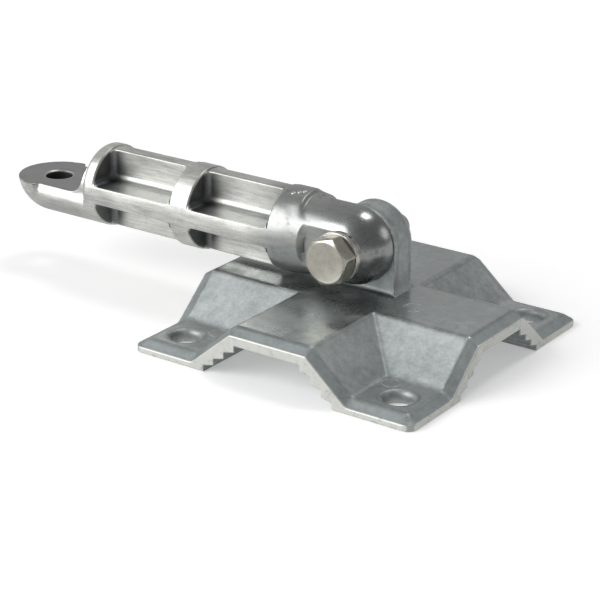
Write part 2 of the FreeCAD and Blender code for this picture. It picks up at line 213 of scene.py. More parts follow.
# Shader nodes
class Wire:
    # One output of a node; sums on wires add Math nodes
    def __init__(self, finish, socket):
        self.finish = finish
        self.socket = socket

    def sum(self, operation, first, second):
        return self.finish.node("ShaderNodeMath", {"operation": operation}, {0: first, 1: second})

    def __add__(self, other):
        return self.sum("ADD", self, other)

    def __radd__(self, other):
        return self.sum("ADD", self, other)

    def __mul__(self, other):
        return self.sum("MULTIPLY", self, other)

    def __rmul__(self, other):
        return self.sum("MULTIPLY", self, other)

    def __sub__(self, other):
        return self.sum("SUBTRACT", self, other)

    def __rsub__(self, other):
        return self.sum("SUBTRACT", other, self)

    def between(self, low, high):
        # 0 at low, 1 at high, clamped, with soft ends
        settings = {"interpolation_type": "SMOOTHSTEP"}
        values = {"Value": self, "From Min": low, "From Max": high}
        return self.finish.node("ShaderNodeMapRange", settings, values)

    def band(self, start, full, last, end):
        # 0 at start, 1 from full to last, and 0 again at end
        return self.between(start, full) * (1 - self.between(last, end))


class Finish:
    def __init__(self, name):
        self.material = bpy.data.materials.new(name)
        self.material.use_nodes = True
        self.tree = self.material.node_tree
        self.shader = self.tree.nodes["Principled BSDF"]
        raw = self.node("ShaderNodeTexCoord", output="Object")
        self.place = self.node("ShaderNodeMapping", {}, {"Vector": raw, "Scale": (1 / mm,) * 3})

    def node(self, kind, settings=None, values=None, output=0):
        made = self.tree.nodes.new(kind)
        for word, value in (settings or {}).items():
            setattr(made, word, value)
        for word, value in (values or {}).items():
            if isinstance(value, Wire):
                self.tree.links.new(value.socket, made.inputs[word])
            else:
                made.inputs[word].default_value = value
        return Wire(self, made.outputs[output])

    def noise(self, size, detail=4, rough=0.6, stretch=(1, 1, 1), seed=0):
        # Noise with grains of about the given size in mm, stretched along some axes
        scale = tuple(1 / (size * s) for s in stretch)
        values = {"Vector": self.place, "Scale": scale, "Location": (seed,) * 3}
        where = self.node("ShaderNodeMapping", {}, values)
        values = {"Vector": where, "Scale": 1.0, "Detail": detail, "Roughness": rough}
        return self.node("ShaderNodeTexNoise", {}, values)

    def axes(self):
        split = self.node("ShaderNodeSeparateXYZ", {}, {"Vector": self.place})
        node = split.socket.node
        return [Wire(self, socket) for socket in node.outputs]

    def mixColour(self, share, first, second):
        # Mix node on colours: sockets 6 and 7 are its colour inputs, output 2 its colour
        values = {0: share, 6: opaque(first), 7: opaque(second)}
        return self.node("ShaderNodeMix", {"data_type": "RGBA"}, values, 2)

    def ridge(self):
        return self.node("ShaderNodeAttribute", {"attribute_name": "ridge"}, {}, "Fac")

    def bump(self, height, strength, distance):
        values = {"Height": height, "Strength": strength, "Distance": distance * mm}
        return self.node("ShaderNodeBump", {}, values)

    def feed(self, **sockets):
        for word, value in sockets.items():
            socket = self.shader.inputs[word.replace("_", " ")]
            if isinstance(value, Wire):
                self.tree.links.new(value.socket, socket)
            else:
                socket.default_value = value
        return self.material


# A colour as a socket takes it; a wire stays a wire
def opaque(colour):
    return colour if isinstance(colour, Wire) else (*colour, 1)


def grey(value):
    return (value, value, value, 1)


def steelFinish(name, light, dark, rough):
    f = Finish(name)
    fine = f.noise(0.22, 4, 0.6, (1, 8, 1))
    cloud = f.noise(2.2, 4, 0.6, seed=6)
    tone = (fine * 0.5 + cloud * 0.5).between(0.3, 0.7)
    colour = f.mixColour(tone, dark, light)
    worn = f.ridge().between(0.4, 1.6)
    colour = f.mixColour(worn * 0.5, colour, (0.93, 0.91, 0.86))
    roughness = rough + (fine - 0.5) * 0.18 + (cloud - 0.5) * 0.12
    normal = f.bump(fine * 0.6 + cloud * 0.6, 0.18, 0.06)
    return f.feed(Base_Color=colour, Roughness=roughness, Metallic=1.0, Normal=normal)


def nylonFinish():
    f = Finish("natural_nylon")
    cloud = f.noise(1.2, 3, 0.5)
    colour = f.mixColour(cloud, (0.74, 0.76, 0.77), (0.86, 0.87, 0.87))
    normal = f.bump(f.noise(0.3, 2, 0.5), 0.2, 0.04)
    return f.feed(Base_Color=colour, Roughness=0.36 + cloud * 0.15, Metallic=0.0, Normal=normal)


# Saddle base
base = {
    "padHeight": 3.9, "rimWidth": 3.4, "rimDrop": 2.2,
    "topHeight": 15.5, "topHalf": 12.8, "footHalf": 26.3,
    "channelHalf": 22.0, "channelRoofHalf": 11.2, "channelHeight": 10.5, "toothFall": 0.9, "teeth": 3,
    "cornerRound": 3.5, "edgeRound": 0.4, "ridgeSoft": 0.35, "valleySoft": 0.55, "rimSoft": 0.22,
    "step": 0.62, "sliver": 0.02, "ringThick": 0.05,
    "topRing": (20.5, -3.5, 3.0), "padRings": ((29.8, -29.8, 2.6), (-29.8, -29.8, 2.6)),
    "holePlace": 36.5, "holeRadius": 4.2, "mouthRound": 1.8, "holeBlock": 6.7, "holeFoot": 0.35,
}
ear = {
    "halfWidth": 11.3, "front": 0.6, "back": 9.6, "foot": 14.8, "edge": 0.45, "boreRadius": 4.08,
    "boreEdge": 0.3, "flare": 1.4, "turnStep": 0.045,
}
castLook = {
    # the smooth colour of the rubbed tops and pads is partly a painted shade
    "dark": (0.31, 0.34, 0.34), "light": (0.55, 0.58, 0.575), "smoothShaded": (0.38, 0.405, 0.40),
    "rim": (0.27, 0.305, 0.315), "edge": (0.80, 0.81, 0.78), "grimeAndShade": (0.12, 0.135, 0.135),
    "bare": (0.86, 0.855, 0.80), "rough": 0.55, "smoothRough": 0.27,
    "specks": 0.30, "rubbedAndShaded": 0.65, "padRubbed": 0.4, "worn": 0.7, "beside": 0.3, "trimmed": 0.65,
    "bump": 0.45, "bumpDepth": 0.11,
}


def castFinish():
    f = Finish("tumbled_die_casting")
    x, y, z = f.axes()
    top = base["topHeight"]
    pad = base["padHeight"]
    wall = baseHigh[0]
    rimStart = wall - base["rimWidth"]

    # 1 outside a square about the middle, 0 inside it, with a soft edge
    def outside(low, high):
        return ((x * x).between(low ** 2, high ** 2) + (y * y).between(low ** 2, high ** 2)).between(0, 0.9)

    grain = f.noise(0.8, 6, 0.75)
    mottle = f.noise(2.6, 6, 0.7, seed=3)
    cloud = f.noise(16, 3, 0.55, seed=7)
    tone = (mottle * 0.5 + cloud * 0.45 + grain * 0.45 - 0.2).between(0.28, 0.72)
    colour = f.mixColour(tone, castLook["dark"], castLook["light"])
    specks = f.noise(0.55, 4, 0.8, seed=17).between(0.60, 0.72)
    colour = f.mixColour(specks * castLook["specks"], colour, castLook["grimeAndShade"])
    # the flat tops were rubbed smoother than the flanks; their colour is also painted darker, a painted
    # shade on the upward faces
    onTop = z.band(top - 0.5, top - 0.15, top + 0.1, top + 0.4)
    onPad = z.band(pad - 0.3, pad - 0.05, pad + 0.05, pad + 0.25)
    rubbedAndShaded = (onTop + onPad * castLook["padRubbed"]) * f.noise(9, 4, 0.6, seed=11).between(0.25, 0.6)
    colour = f.mixColour(rubbedAndShaded * castLook["rubbedAndShaded"], colour, castLook["smoothShaded"])
    bend = f.ridge()
    worn = bend.between(0.10, 0.8) * f.noise(1.3, 4, 0.6, seed=5).between(0.35, 0.6)
    colour = f.mixColour(worn * castLook["worn"], colour, castLook["edge"])
    # a thin dark line of grime runs along each worn edge
    beside = bend.band(0.03, 0.10, 0.15, 0.4) * castLook["beside"]
    beside = beside * f.noise(3.0, 4, 0.7, seed=23).between(0.2, 0.6)
    colour = f.mixColour(beside, colour, castLook["grimeAndShade"])
    onRim = outside(rimStart - 0.3, rimStart + 0.2)
    colour = f.mixColour(onRim * (0.2 + cloud * 0.4), colour, castLook["rim"])
    # the outer walls of the foot are bare, lighter and warmer where the rim was trimmed
    bare = outside(wall - 0.6, wall - 0.2) * f.noise(2.2, 5, 0.7, seed=31).between(0.2, 0.5)
    colour = f.mixColour(bare * castLook["trimmed"], colour, castLook["bare"])
    rough = castLook["rough"] + (grain - 0.5) * 0.25 + (cloud - 0.5) * 0.18
    rough = rough - rubbedAndShaded * (castLook["rough"] - castLook["smoothRough"])
    height = grain * 0.6 + mottle * 0.4 + f.noise(0.28, 3, 0.6, seed=2) * 0.25
    normal = f.bump(height * (1 - rubbedAndShaded * 0.7), castLook["bump"], castLook["bumpDepth"])
    return f.feed(Base_Color=colour, Roughness=rough, Metallic=0.9, Normal=normal)


castMetal = castFinish()
print("casting finish ready")


# Height of the top: the flank of either arch, cut off at the arch's flat top and standing on the
# pads, less a fall along the outer rim: min(top, max(pad, flankX, flankY)) - rim
def baseTop(x, y):
    half = baseHigh[0]
    slope = (base["topHeight"] - base["padHeight"]) / (base["footHalf"] - base["topHalf"])
    flankX = base["topHeight"] - slope * (abs(y) - base["topHalf"])
    flankY = base["topHeight"] - slope * (abs(x) - base["topHalf"])
    flanks = softMax(flankX, flankY, base["valleySoft"])
    height = softMax(flanks, np.full_like(x, base["padHeight"]), base["valleySoft"])
    height = softMin(height, np.full_like(x, base["topHeight"]), base["ridgeSoft"])
    out = softMax(abs(x), abs(y), 0.25)
    fall = (out - (half - base["rimWidth"])) * base["rimDrop"] / base["rimWidth"]
    return height - softMax(fall, np.zeros_like(x), base["rimSoft"])


# Height of the underside: a channel under each arch whose sides are toothed steps
def baseUnder(x, y):
    tread = (base["channelHalf"] - base["channelRoofHalf"]) / base["teeth"]
    rise = (base["channelHeight"] - base["teeth"] * base["toothFall"]) / (base["teeth"] + 1)
    across = [0.0, base["channelRoofHalf"]]
    height = [base["channelHeight"], base["channelHeight"]]
    for count in reversed(range(base["teeth"])):
        outer = base["channelHalf"] - count * tread
        across += [outer - tread + base["sliver"], outer]
        height += [(count + 1) * (rise + base["toothFall"]), (count + 1) * rise + count * base["toothFall"]]
    across += [base["channelHalf"] + base["sliver"], 2 * base["channelHalf"] + 10]
    height += [0.0, 0.0]
    return np.maximum(np.interp(abs(x), across, height), np.interp(abs(y), across, height))


# Pulls the square plan's corners in to arcs: a corner square becomes a quarter disc
def roundPlan(x, y):
    start = baseHigh[0] - base["cornerRound"]
    overX = np.maximum(abs(x) - start, 0)
    overY = np.maximum(abs(y) - start, 0)
    far = np.maximum(overX, overY)
    reach = np.hypot(overX, overY)
    inCorner = (overX > 0) & (overY > 0)
    share = np.where(inCorner, far / np.maximum(reach, 1e-9), 1)
    return x + np.sign(x) * overX * (share - 1), y + np.sign(y) * overY * (share - 1)


# One screw hole: the points of a square frame drawn in to a circle, down through the rounded mouth
# and the bore, and out again to the same frame on the underside
def screwHole(sideX, sideY, lines):
    reach = base["holeBlock"]
    place = base["holePlace"]
    near = lines[(lines > place - reach - 1e-6) & (lines < place + reach + 1e-6)] - place
    side = np.full(len(near) - 1, reach)
    frameX = np.concatenate([near[:-1], side, -near[:-1], -side])
    frameY = np.concatenate([-side, near[:-1], side, -near[:-1]])
    angle = np.arctan2(frameY, frameX)
    mouth = base["mouthRound"]
    bore = base["holeRadius"]
    turn = quarter(9)
    wide = bore + mouth
    rows = []
    for share in (0, 0.35, 0.65, 0.85):
        rows.append((share, wide, base["padHeight"]))
    for radius, height in zip(wide - mouth * np.sin(turn), base["padHeight"] - mouth * (1 - np.cos(turn))):
        rows.append((1, radius, height))
    foot = base["holeFoot"]
    rows += [(1, bore, foot), (1, bore + 0.3 * foot, 0.3 * foot), (1, bore + foot, 0), (0.5, bore + foot, 0),
             (0, bore + foot, 0)]
    grid = []
    for share, radius, height in rows:
        px = frameX * (1 - share) + radius * np.cos(angle) * share
        py = frameY * (1 - share) + radius * np.sin(angle) * share
        level = np.full_like(px, height)
        grid.append(np.stack([(px + place) * sideX, (py + place) * sideY, level], -1))
    return np.array(grid)


# A ring left by an ejector pin: a thin hoop half sunk in the level surface it stands on
def pinRing(x, y, level, radius):
    thick = base["ringThick"]
    turn = np.linspace(0, 2 * math.pi, 40, endpoint=False)[:, None]
    ring = np.linspace(0, 2 * math.pi, 8, endpoint=False)[None, :]
    reach = radius + thick * 1.6 * np.cos(ring)
    height = level + thick * np.sin(ring) + 0 * turn
    return np.stack([x + reach * np.cos(turn), y + reach * np.sin(turn), height], -1)


# The ear is a slab about the hinge axis: radius runs from the bore to an outline of a half circle on
# top and straight sides below, and the surface goes front, rim, back and bore. Its foot flares out.
def earGrid():
    bottom = ear["foot"] - hinge[2]
    left = math.atan2(bottom, -ear["halfWidth"])
    right = math.atan2(bottom, ear["halfWidth"])
    turn = linesThrough([-math.pi, left, right, 0, math.pi], ear["turnStep"])[:-1]
    down = np.minimum(np.sin(turn), -1e-9)
    aside = np.abs(np.cos(turn)) + 1e-9
    straight = np.minimum(ear["halfWidth"] / aside, bottom / down)
    outline = np.where(np.sin(turn) >= 0, ear["halfWidth"], straight)
    edge = ear["edge"]
    rim = ear["boreEdge"]
    bore = ear["boreRadius"]
    arc = quarter(5)
    shares = np.array([0, 0.3, 0.6, 0.8, 0.85, 0.89, 0.92, 0.94, 0.96, 0.98, 1])
    rows = [(np.full_like(turn, bore), ear["front"] + rim)]
    for share in shares:
        rows.append((bore + rim + (outline - edge - bore - rim) * share, ear["front"]))
    for bend in arc[1:]:
        rows.append((outline - edge + edge * math.sin(bend), ear["front"] + edge * (1 - math.cos(bend))))
    for share in (0.25, 0.5, 0.75):
        rows.append((outline, ear["front"] + (ear["back"] - ear["front"]) * share))
    for bend in arc[::-1][:-1]:
        rows.append((outline - edge + edge * math.sin(bend), ear["back"] - edge * (1 - math.cos(bend))))
    for share in shares[::-1]:
        rows.append((bore + rim + (outline - edge - bore - rim) * share, ear["back"]))
    rows.append((np.full_like(turn, bore), ear["back"] - rim))
    radius = np.array([row[0] for row in rows])
    y = np.array([row[1] for row in rows])[:, None] + 0 * radius
    x = radius * np.cos(turn)
    z = hinge[2] + radius * np.sin(turn)
    flare = ear["flare"]
    rise = np.clip(z - base["topHeight"], 0, flare)
    spread = flare - np.sqrt(flare ** 2 - (flare - rise) ** 2)
    middle = (ear["front"] + ear["back"]) / 2
    onBore = radius < bore + rim + 0.01
    spread = np.where(onBore, 0, spread)
    x = x * (1 + spread / ear["halfWidth"])
    y = middle + (y - middle) * (1 + spread / (middle - ear["front"]))
    return np.stack([x, y, z], -1)


def makeSaddle():
    half = baseHigh[0]
    edge = base["edgeRound"]
    tread = (base["channelHalf"] - base["channelRoofHalf"]) / base["teeth"]
    marks = [0]
    for count in range(base["teeth"] + 1):
        tooth = base["channelRoofHalf"] + count * tread
        marks += [tooth, tooth + base["sliver"]]
    marks += [base["topHalf"], base["footHalf"]]
    marks += [base["holePlace"] - base["holeBlock"], base["holePlace"] + base["holeBlock"]]
    marks += [half - base["rimWidth"], half - base["cornerRound"], half - edge]
    lines = linesThrough(sorted(marks), base["step"])
    both = np.concatenate([-lines[:0:-1], lines])
    x, y = np.meshgrid(both, both, indexing="ij")
    planX, planY = roundPlan(x, y)
    middle = (both[:-1] + both[1:]) / 2
    inBlock = np.abs(np.abs(middle) - base["holePlace"]) < base["holeBlock"]
    keep = ~(inBlock[:, None] & inBlock[None, :])
    saddle = Shape()
    top = np.stack([planX, planY, baseTop(x, y)], -1)
    under = np.stack([planX, planY, baseUnder(x, y)], -1)
    saddle.add(top, keep=keep)
    saddle.add(under, keep=keep)

    # the outer wall, with both of its edges rounded, follows the border of the two grids
    def border(grid):
        return np.concatenate([grid[:-1, 0], grid[-1, :-1], grid[:0:-1, -1], grid[0, :0:-1]])

    high = border(top)
    low = border(under)
    over = np.stack([border(x), border(y)], -1)
    start = half - base["cornerRound"]
    out = np.sign(over) * np.maximum(np.abs(over) - start, 0)
    straight = np.min(np.abs(over), axis=1) <= start
    main = np.abs(over) >= np.max(np.abs(over), axis=1, keepdims=True) - 1e-9
    out = np.where(straight[:, None], np.sign(over) * main, out)
    out = out / np.linalg.norm(out, axis=1, keepdims=True)
    rows = []
    for bend in quarter(5):
        rows.append(np.column_stack([high[:, :2] + out * edge * math.sin(bend),
                                     high[:, 2] - edge * (1 - math.cos(bend))]))
    for bend in quarter(5)[::-1]:
        rows.append(np.column_stack([low[:, :2] + out * edge * math.sin(bend),
                                     low[:, 2] + edge * (1 - math.cos(bend))]))
    saddle.add(np.array(rows), wrapColumns=True)
    for sideX in (-1, 1):
        for sideY in (-1, 1):
            saddle.add(screwHole(sideX, sideY, lines), wrapColumns=True)
    saddle.add(earGrid(), wrapRows=True, wrapColumns=True)
    x, y, radius = base["topRing"]
    saddle.add(pinRing(x, y, base["topHeight"], radius), True, True)
    for x, y, radius in base["padRings"]:
        saddle.add(pinRing(x, y, base["padHeight"], radius), True, True)
    piece = newPiece("saddle", saddle)
    settle(piece, "foot", castMetal, "base_casting", "saddle_base")


makeSaddle()


# Tie arm, worked out about its own axis; height is measured from the hinge
arm = {
    "radius": 13.0, "neck": 12.0, "ballCentre": -1.3, "shoulder": 13.9, "lapFace": 0.4, "seatFace": -10.2,
    "shoulderSlant": 1.5, "collarEnd": -17.3, "collarStep": 1.3, "sideStep": 5.0,
    "bays": ((-91.2, -61.3), (-54.3, -25.3)), "endFace": -97.5,
    "eye": -116.0, "eyeFlat": -1.2, "faceFillet": 4.5, "faceRound": 2.0, "faceTilt": math.radians(79),
    "webUpright": 2.5, "webLevel": 2.8, "webRoot": 2.2, "bayEnd": 1.9, "bayEdge": 0.6, "webTop": 12.6,
    "edgeSoft": 0.45, "eyeBore": 4.1, "eyeRound": 2.2, "eyeSink": 1.2, "pivotBore": 4.08, "sunk": 5.0,
    "dots": ((-21.6, -0.30), (-20.1, -0.22), (-18.9, -0.14)), "dotSize": 0.75, "dotHeight": 0.3,
}
armLook = {
    # the pocket colour is a painted shadow for the outer ends of the bays
    "bright": (0.86, 0.86, 0.81), "dull": (0.38, 0.385, 0.375), "pocket": (0.10, 0.105, 0.115),
    # the grime colour is real grime in the stains and also a painted shade in the arm's creases
    "collar": (0.27, 0.28, 0.28), "ball": (0.33, 0.34, 0.34), "grimeAndShade": (0.08, 0.085, 0.09),
    # the flat colour is a painted shade, used on the eye's flat, the bays' level web and the tongue's
    # underside
    "flat": (0.27, 0.28, 0.28), "worn": (0.9, 0.9, 0.86), "pit": (0.25, 0.25, 0.24),
    # the oxide colour is a painted shade for the inside of the eye's bore
    "boreShade": (0.02, 0.02, 0.02), "rough": 0.40, "ballRough": 0.24,
    "ballStart": -13.0, "ballEnd": -3.0, "collarStart": -38.0, "collarFull": -21.0,
    "collarShare": 0.75, "flatShadeShare": 0.8, "webShadeShare": 0.7, "pocketShadowShare": 0.8, "belowShadeShare": 0.7,
    "bump": 0.28, "bumpDepth": 0.10,
}


def armFinish():
    f = Finish("bright_tumbled_casting")
    x, y, z = f.axes()
    streak = f.noise(0.6, 5, 0.7, (16, 1, 1))
    soft = f.noise(5, 5, 0.6, (3, 1, 1), seed=4)
    speck = f.noise(0.5, 4, 0.7, seed=9)
    tone = (streak * 0.55 + soft * 0.45 + speck * 0.25 - 0.12).between(0.25, 0.75)
    colour = f.mixColour(tone, armLook["dull"], armLook["bright"])
    # the knuckle end was polished and is darker than the open ribs
    inward = x.between(armLook["collarStart"], armLook["collarFull"])
    colour = f.mixColour(inward * armLook["collarShare"], colour, armLook["collar"])
    ball = x.between(armLook["ballStart"], armLook["ballEnd"])
    colour = f.mixColour(ball * 0.8, colour, armLook["ball"])
    # the flat over the eye is painted darker, a painted shade on this upward face
    flat = hinge[2] + arm["eyeFlat"]
    onFlat = z.band(flat - 0.6, flat - 0.2, flat + 0.2, flat + 0.6)
    onFlat = onFlat * (1 - x.between(arm["endFace"] - 3.5, arm["endFace"] - 0.5))
    colour = f.mixColour(onFlat * armLook["flatShadeShare"], colour, armLook["flat"])
    # the level web in each bay and each bay's outer end are painted darker: painted shade in the recesses
    level = hinge[2] + arm["webLevel"]
    up = z - hinge[2]
    rim = arm["radius"]
    within = 1 - (y * y + up * up).between((rim - 0.9) ** 2, (rim - 0.35) ** 2)
    onWeb = z.band(level - 0.7, level - 0.2, level + 0.4, level + 1.4)
    for start, end in arm["bays"]:
        inBay = x.band(start - 0.3, start, end - 0.6, end)
        colour = f.mixColour(onWeb * inBay * within * armLook["webShadeShare"], colour, armLook["flat"])
        deep = x.band(start - 0.3, start, start + 1.5, start + 6.5)
        colour = f.mixColour(deep * within * armLook["pocketShadowShare"], colour, armLook["pocket"])
    # the underside of the tongue is painted darker as well, a painted shade under the arm
    below = (1 - x.between(arm["endFace"] - 5.5, arm["endFace"] + 5.5)) * (1 - z.between(17, 26))
    colour = f.mixColour(below * armLook["belowShadeShare"], colour, armLook["flat"])
    stain = f.noise(2.4, 6, 0.75, seed=21).between(0.5, 0.75) * 0.45
    colour = f.mixColour(stain * (0.4 + inward * 0.6), colour, armLook["grimeAndShade"])
    bend = f.ridge()
    colour = f.mixColour(bend.between(0.25, 1.2) * 0.5, colour, armLook["worn"])
    # creases and hollows, where the ridge value is negative, are painted darker: a painted shade
    colour = f.mixColour((-1 * bend).between(0.08, 0.6) * 0.6, colour, armLook["grimeAndShade"])
    pits = f.noise(0.35, 2, 0.5, seed=13).between(0.66, 0.76)
    colour = f.mixColour(pits * 0.5, colour, armLook["pit"])
    # painted shade inside the eye's hole: a near-black colour where the bore lies in shade
    side = x - arm["eye"]
    bore = arm["eyeBore"]
    near = 1 - (side * side + y * y).between((bore + 0.1) ** 2, (bore + 0.45) ** 2)
    colour = f.mixColour(near * 0.93, colour, armLook["boreShade"])
    rough = armLook["rough"] + (streak - 0.5) * 0.22 + (soft - 0.5) * 0.2 + stain * 0.2 + near * 0.3
    rough = rough - ball * (armLook["rough"] - armLook["ballRough"])
    height = streak * 0.55 + soft * 0.9 + speck * 0.25 - pits * 0.6
    normal = f.bump(height * (1 - ball * 0.5), armLook["bump"], armLook["bumpDepth"])
    return f.feed(Base_Color=colour, Roughness=rough, Metallic=1.0, Normal=normal)


armMetal = armFinish()
print("arm finish ready")


# Angles round the axis, from straight up, closer together at the edges of the four webs
def armAngles():
    upright = math.asin(arm["webUpright"] / arm["webTop"])
    level = math.acos(arm["webLevel"] / arm["radius"])
    marks = []
    for edge in (upright, level, math.pi - level, math.pi - upright):
        marks += [edge + shift for shift in (-0.012, -0.005, 0, 0.005, 0.012)]
    marks = [0] + marks + [math.pi]
    right = linesThrough(marks, 0.028)
    return np.concatenate([right, 2 * math.pi - right[-2:0:-1]])


# Distance from (0, 0) to the surface of a cross of webs with rounded roots, each web `grow` thicker
def webReach(angle, grow):
    side = np.abs(np.sin(angle)) + 1e-9
    rise = np.abs(np.cos(angle)) + 1e-9
    a = arm["webUpright"] + grow
    b = arm["webLevel"] + grow
    reach = np.maximum(a / side, b / rise)
    root = arm["webRoot"]
    along = (a + root) * side + (b + root) * rise
    inside = along ** 2 - (a + root) ** 2 - (b + root) ** 2 + root ** 2
    tilt = side / rise
    onRoot = (tilt > a / (b + root)) & (tilt < (a + root) / b) & (inside > 0)
    return np.where(onRoot, along - np.sqrt(np.maximum(inside, 0)), reach)


# Distance along a ray from (startY, startZ) to a circle about the axis
def circleReach(startY, startZ, goY, goZ, radius):
    along = startY * goY + startZ * goZ
    return -along + np.sqrt(np.maximum(along ** 2 - startY ** 2 - startZ ** 2 + radius ** 2, 0))


# Distance along a ray to the plane where go * t = gap; rays that point away never meet it
def planeReach(gap, go):
    return np.where(go > 1e-4, gap / np.maximum(go, 1e-4), 1e3)


# Height of the flat over the eye: level, then an arc that turns up and runs on as a steep face
def eyeLevel(x):
    fillet = arm["faceFillet"]
    tilt = arm["faceTilt"]
    along = max(x - (arm["endFace"] - fillet), 0)
    arcEnd = fillet * math.sin(tilt)
    if along < arcEnd:
        return arm["eyeFlat"] + fillet - math.sqrt(fillet ** 2 - along ** 2)
    return arm["eyeFlat"] + fillet * (1 - math.cos(tilt)) + (along - arcEnd) * math.tan(tilt)


# Place along the arm where the steep face starts to round over into the end ring
def faceTop():
    fillet = arm["faceFillet"]
    tilt = arm["faceTilt"]
    rise = arm["radius"] - arm["faceRound"] - arm["eyeFlat"] - fillet * (1 - math.cos(tilt))
    return arm["endFace"] - fillet + fillet * math.sin(tilt) + rise / math.tan(tilt)


# Depth of a rounded edge of the given radius, at a distance `out` from the face
def roundFall(radius, out):
    reach = radius - min(max(out, 0), radius)
    return radius - math.sqrt(radius ** 2 - reach ** 2)


# One section of the arm: radius as a function of the angle, for a row at place x. `inside` tells
# the two rows at a step apart, and centreY, centreZ are where its rays start
def armSection(x, angle, inside, centreY, centreZ):
    goY = np.sin(angle)
    goZ = np.cos(angle)
    radius = np.full_like(angle, arm["radius"])
    soft = arm["edgeSoft"]
    # the collar steps down to the neck sharply on top and fades away down the sides
    onTop = ease(goZ, 0.72, 0.98)
    stepFrom = arm["collarEnd"] - 0.1 - arm["sideStep"] * (1 - onTop)
    stepTo = arm["collarEnd"] + arm["collarStep"] * onTop + arm["sideStep"] * (1 - onTop)
    radius = radius - (arm["radius"] - arm["neck"]) * ease(x, stepFrom, stepTo)
    if x > arm["ballCentre"]:
        radius = np.full_like(angle, math.sqrt(max(arm["neck"] ** 2 - (x - arm["ballCentre"]) ** 2, 1e-8)))
    if x < arm["eye"]:
        radius = np.full_like(angle, math.sqrt(max(arm["radius"] ** 2 - (arm["eye"] - x) ** 2, 1e-8)))
    # how deep each column is cut in the bays, so that only their walls get rounded edges
    depth = ease(arm["radius"] - np.minimum(webReach(angle, 0), arm["radius"]), 0.3, 1.5)
    for start, end in arm["bays"]:
        for face, sign in ((start, 1), (end, -1)):
            out = (face - x) * sign
            if -1e-6 <= out < arm["bayEdge"] and not inside:
                radius = radius - roundFall(arm["bayEdge"], out) * depth
    if arm["eye"] < x < faceTop() + arm["faceRound"]:
        radius = radius - roundFall(arm["faceRound"], x - faceTop()) * ease(arm["radius"] * goZ, -1.0, 5.0)
    reach = circleReach(centreY, centreZ, goY, goZ, radius)
    if inside == "bay":
        start, end = next(bay for bay in arm["bays"] if bay[0] - 1e-6 <= x <= bay[1] + 1e-6)
        grow = roundFall(arm["bayEnd"], min(x - start, end - x))
        outer = arm["webTop"] + (arm["radius"] - arm["webTop"]) * ease(np.abs(goY), 0.3, 0.8)
        reach = softMin(webReach(angle, grow), outer, soft)
    if inside == "eye":
        rise = eyeLevel(x) - centreZ
        reach = softMin(reach, planeReach(rise, goZ), min(0.55, 0.3 * rise))
    if inside == "lug":
        reach = softMin(reach, planeReach(arm["lapFace"] - centreY, goY), 0.35)
        reach = softMin(reach, planeReach(centreY - arm["seatFace"], -goY), 0.3)
    return reach


# Places of the sections along the arm, from the tongue's tip to the knuckle's, each with its kind
def armRows():
    rows = []

    def addArc(centre, radius, bends, inside):
        rows.extend((centre + radius * bend, inside) for bend in bends)

    # evenly from the last row to `end`
    def addRun(end, step, inside):
        rows.extend((x, inside) for x in linesThrough([rows[-1][0], end], step)[1:])

    addArc(arm["eye"], armLow[0] - arm["eye"], np.cos(quarter(27)), "eye")
    addRun(arm["endFace"] - arm["faceFillet"], 0.9, "eye")
    addRun(arm["endFace"] - 0.8, 0.3, "eye")
    addRun(faceTop() + arm["faceRound"], 0.11, "eye")
    edge = arm["bayEdge"]
    inner = arm["bayEnd"]
    for start, end in arm["bays"]:
        addRun(start - edge, 0.9, "")
        addArc(start - edge, edge, np.sin(quarter(6)[1:]), "")
        addArc(start, inner, 1 - np.cos(quarter(9)), "bay")
        addRun(end - inner, 1.1, "bay")
        addArc(end, -inner, 1 - np.cos(quarter(9)[-2::-1]), "bay")
        addArc(end + edge, -edge, np.sin(quarter(6)[::-1]), "")
    collar = arm["collarEnd"]
    addRun(collar - 0.1, 0.8, "")
    addRun(collar + arm["collarStep"], (arm["collarStep"] + 0.1) / 11 + 1e-6, "")
    # the wall beside the lap and the seat leans back, so its two rows stand apart
    slant = arm["shoulderSlant"] / 2
    addRun(-arm["shoulder"] - slant, 0.45, "")
    rows.append((-arm["shoulder"] + slant, "lug"))
    addRun(arm["ballCentre"], 0.45, "lug")
    addArc(arm["ballCentre"], arm["neck"], np.sin(quarter(44)[1:]), "lug")
    return rows


def armGrid():
    angle = armAngles()
    grid = []
    for x, inside in armRows():
        ball = math.sqrt(max(arm["neck"] ** 2 - max(x - arm["ballCentre"], 0) ** 2, 0))
        centreY = -min(arm["sunk"], 0.45 * ball) * float(ease(x, -22.0, -14.0))
        centreZ = -arm["sunk"] * (1 - float(ease(x, faceTop() + arm["faceRound"], arm["bays"][0][0] - 0.2)))
        if x < arm["eye"]:
            low = math.sqrt(max(arm["radius"] ** 2 - (arm["eye"] - x) ** 2, 0))
            centreZ = -min(arm["sunk"], (low - arm["eyeFlat"]) / 2)
        reach = armSection(x, angle, inside, centreY, centreZ)
        # both ends close to a point
        if x < armLow[0] + 1e-6 or x > armHigh[0] - 1e-4:
            reach = reach * 0
        y = centreY + reach * np.sin(angle)
        z = centreZ + reach * np.cos(angle)
        # rows near the shoulder bend to follow the round seat on the bolt's side
        near = max(0.0, 1 - abs(x + arm["shoulder"]) / 4.0)
        bend = arm["shoulder"] - np.sqrt(arm["shoulder"] ** 2 - np.clip(z, -7, 7) ** 2)
        bend = bend * (1 - ease(y, -8.0, -3.0)) * near
        grid.append(np.stack([x + bend, y, z + hinge[2]], -1))
    return np.array(grid)


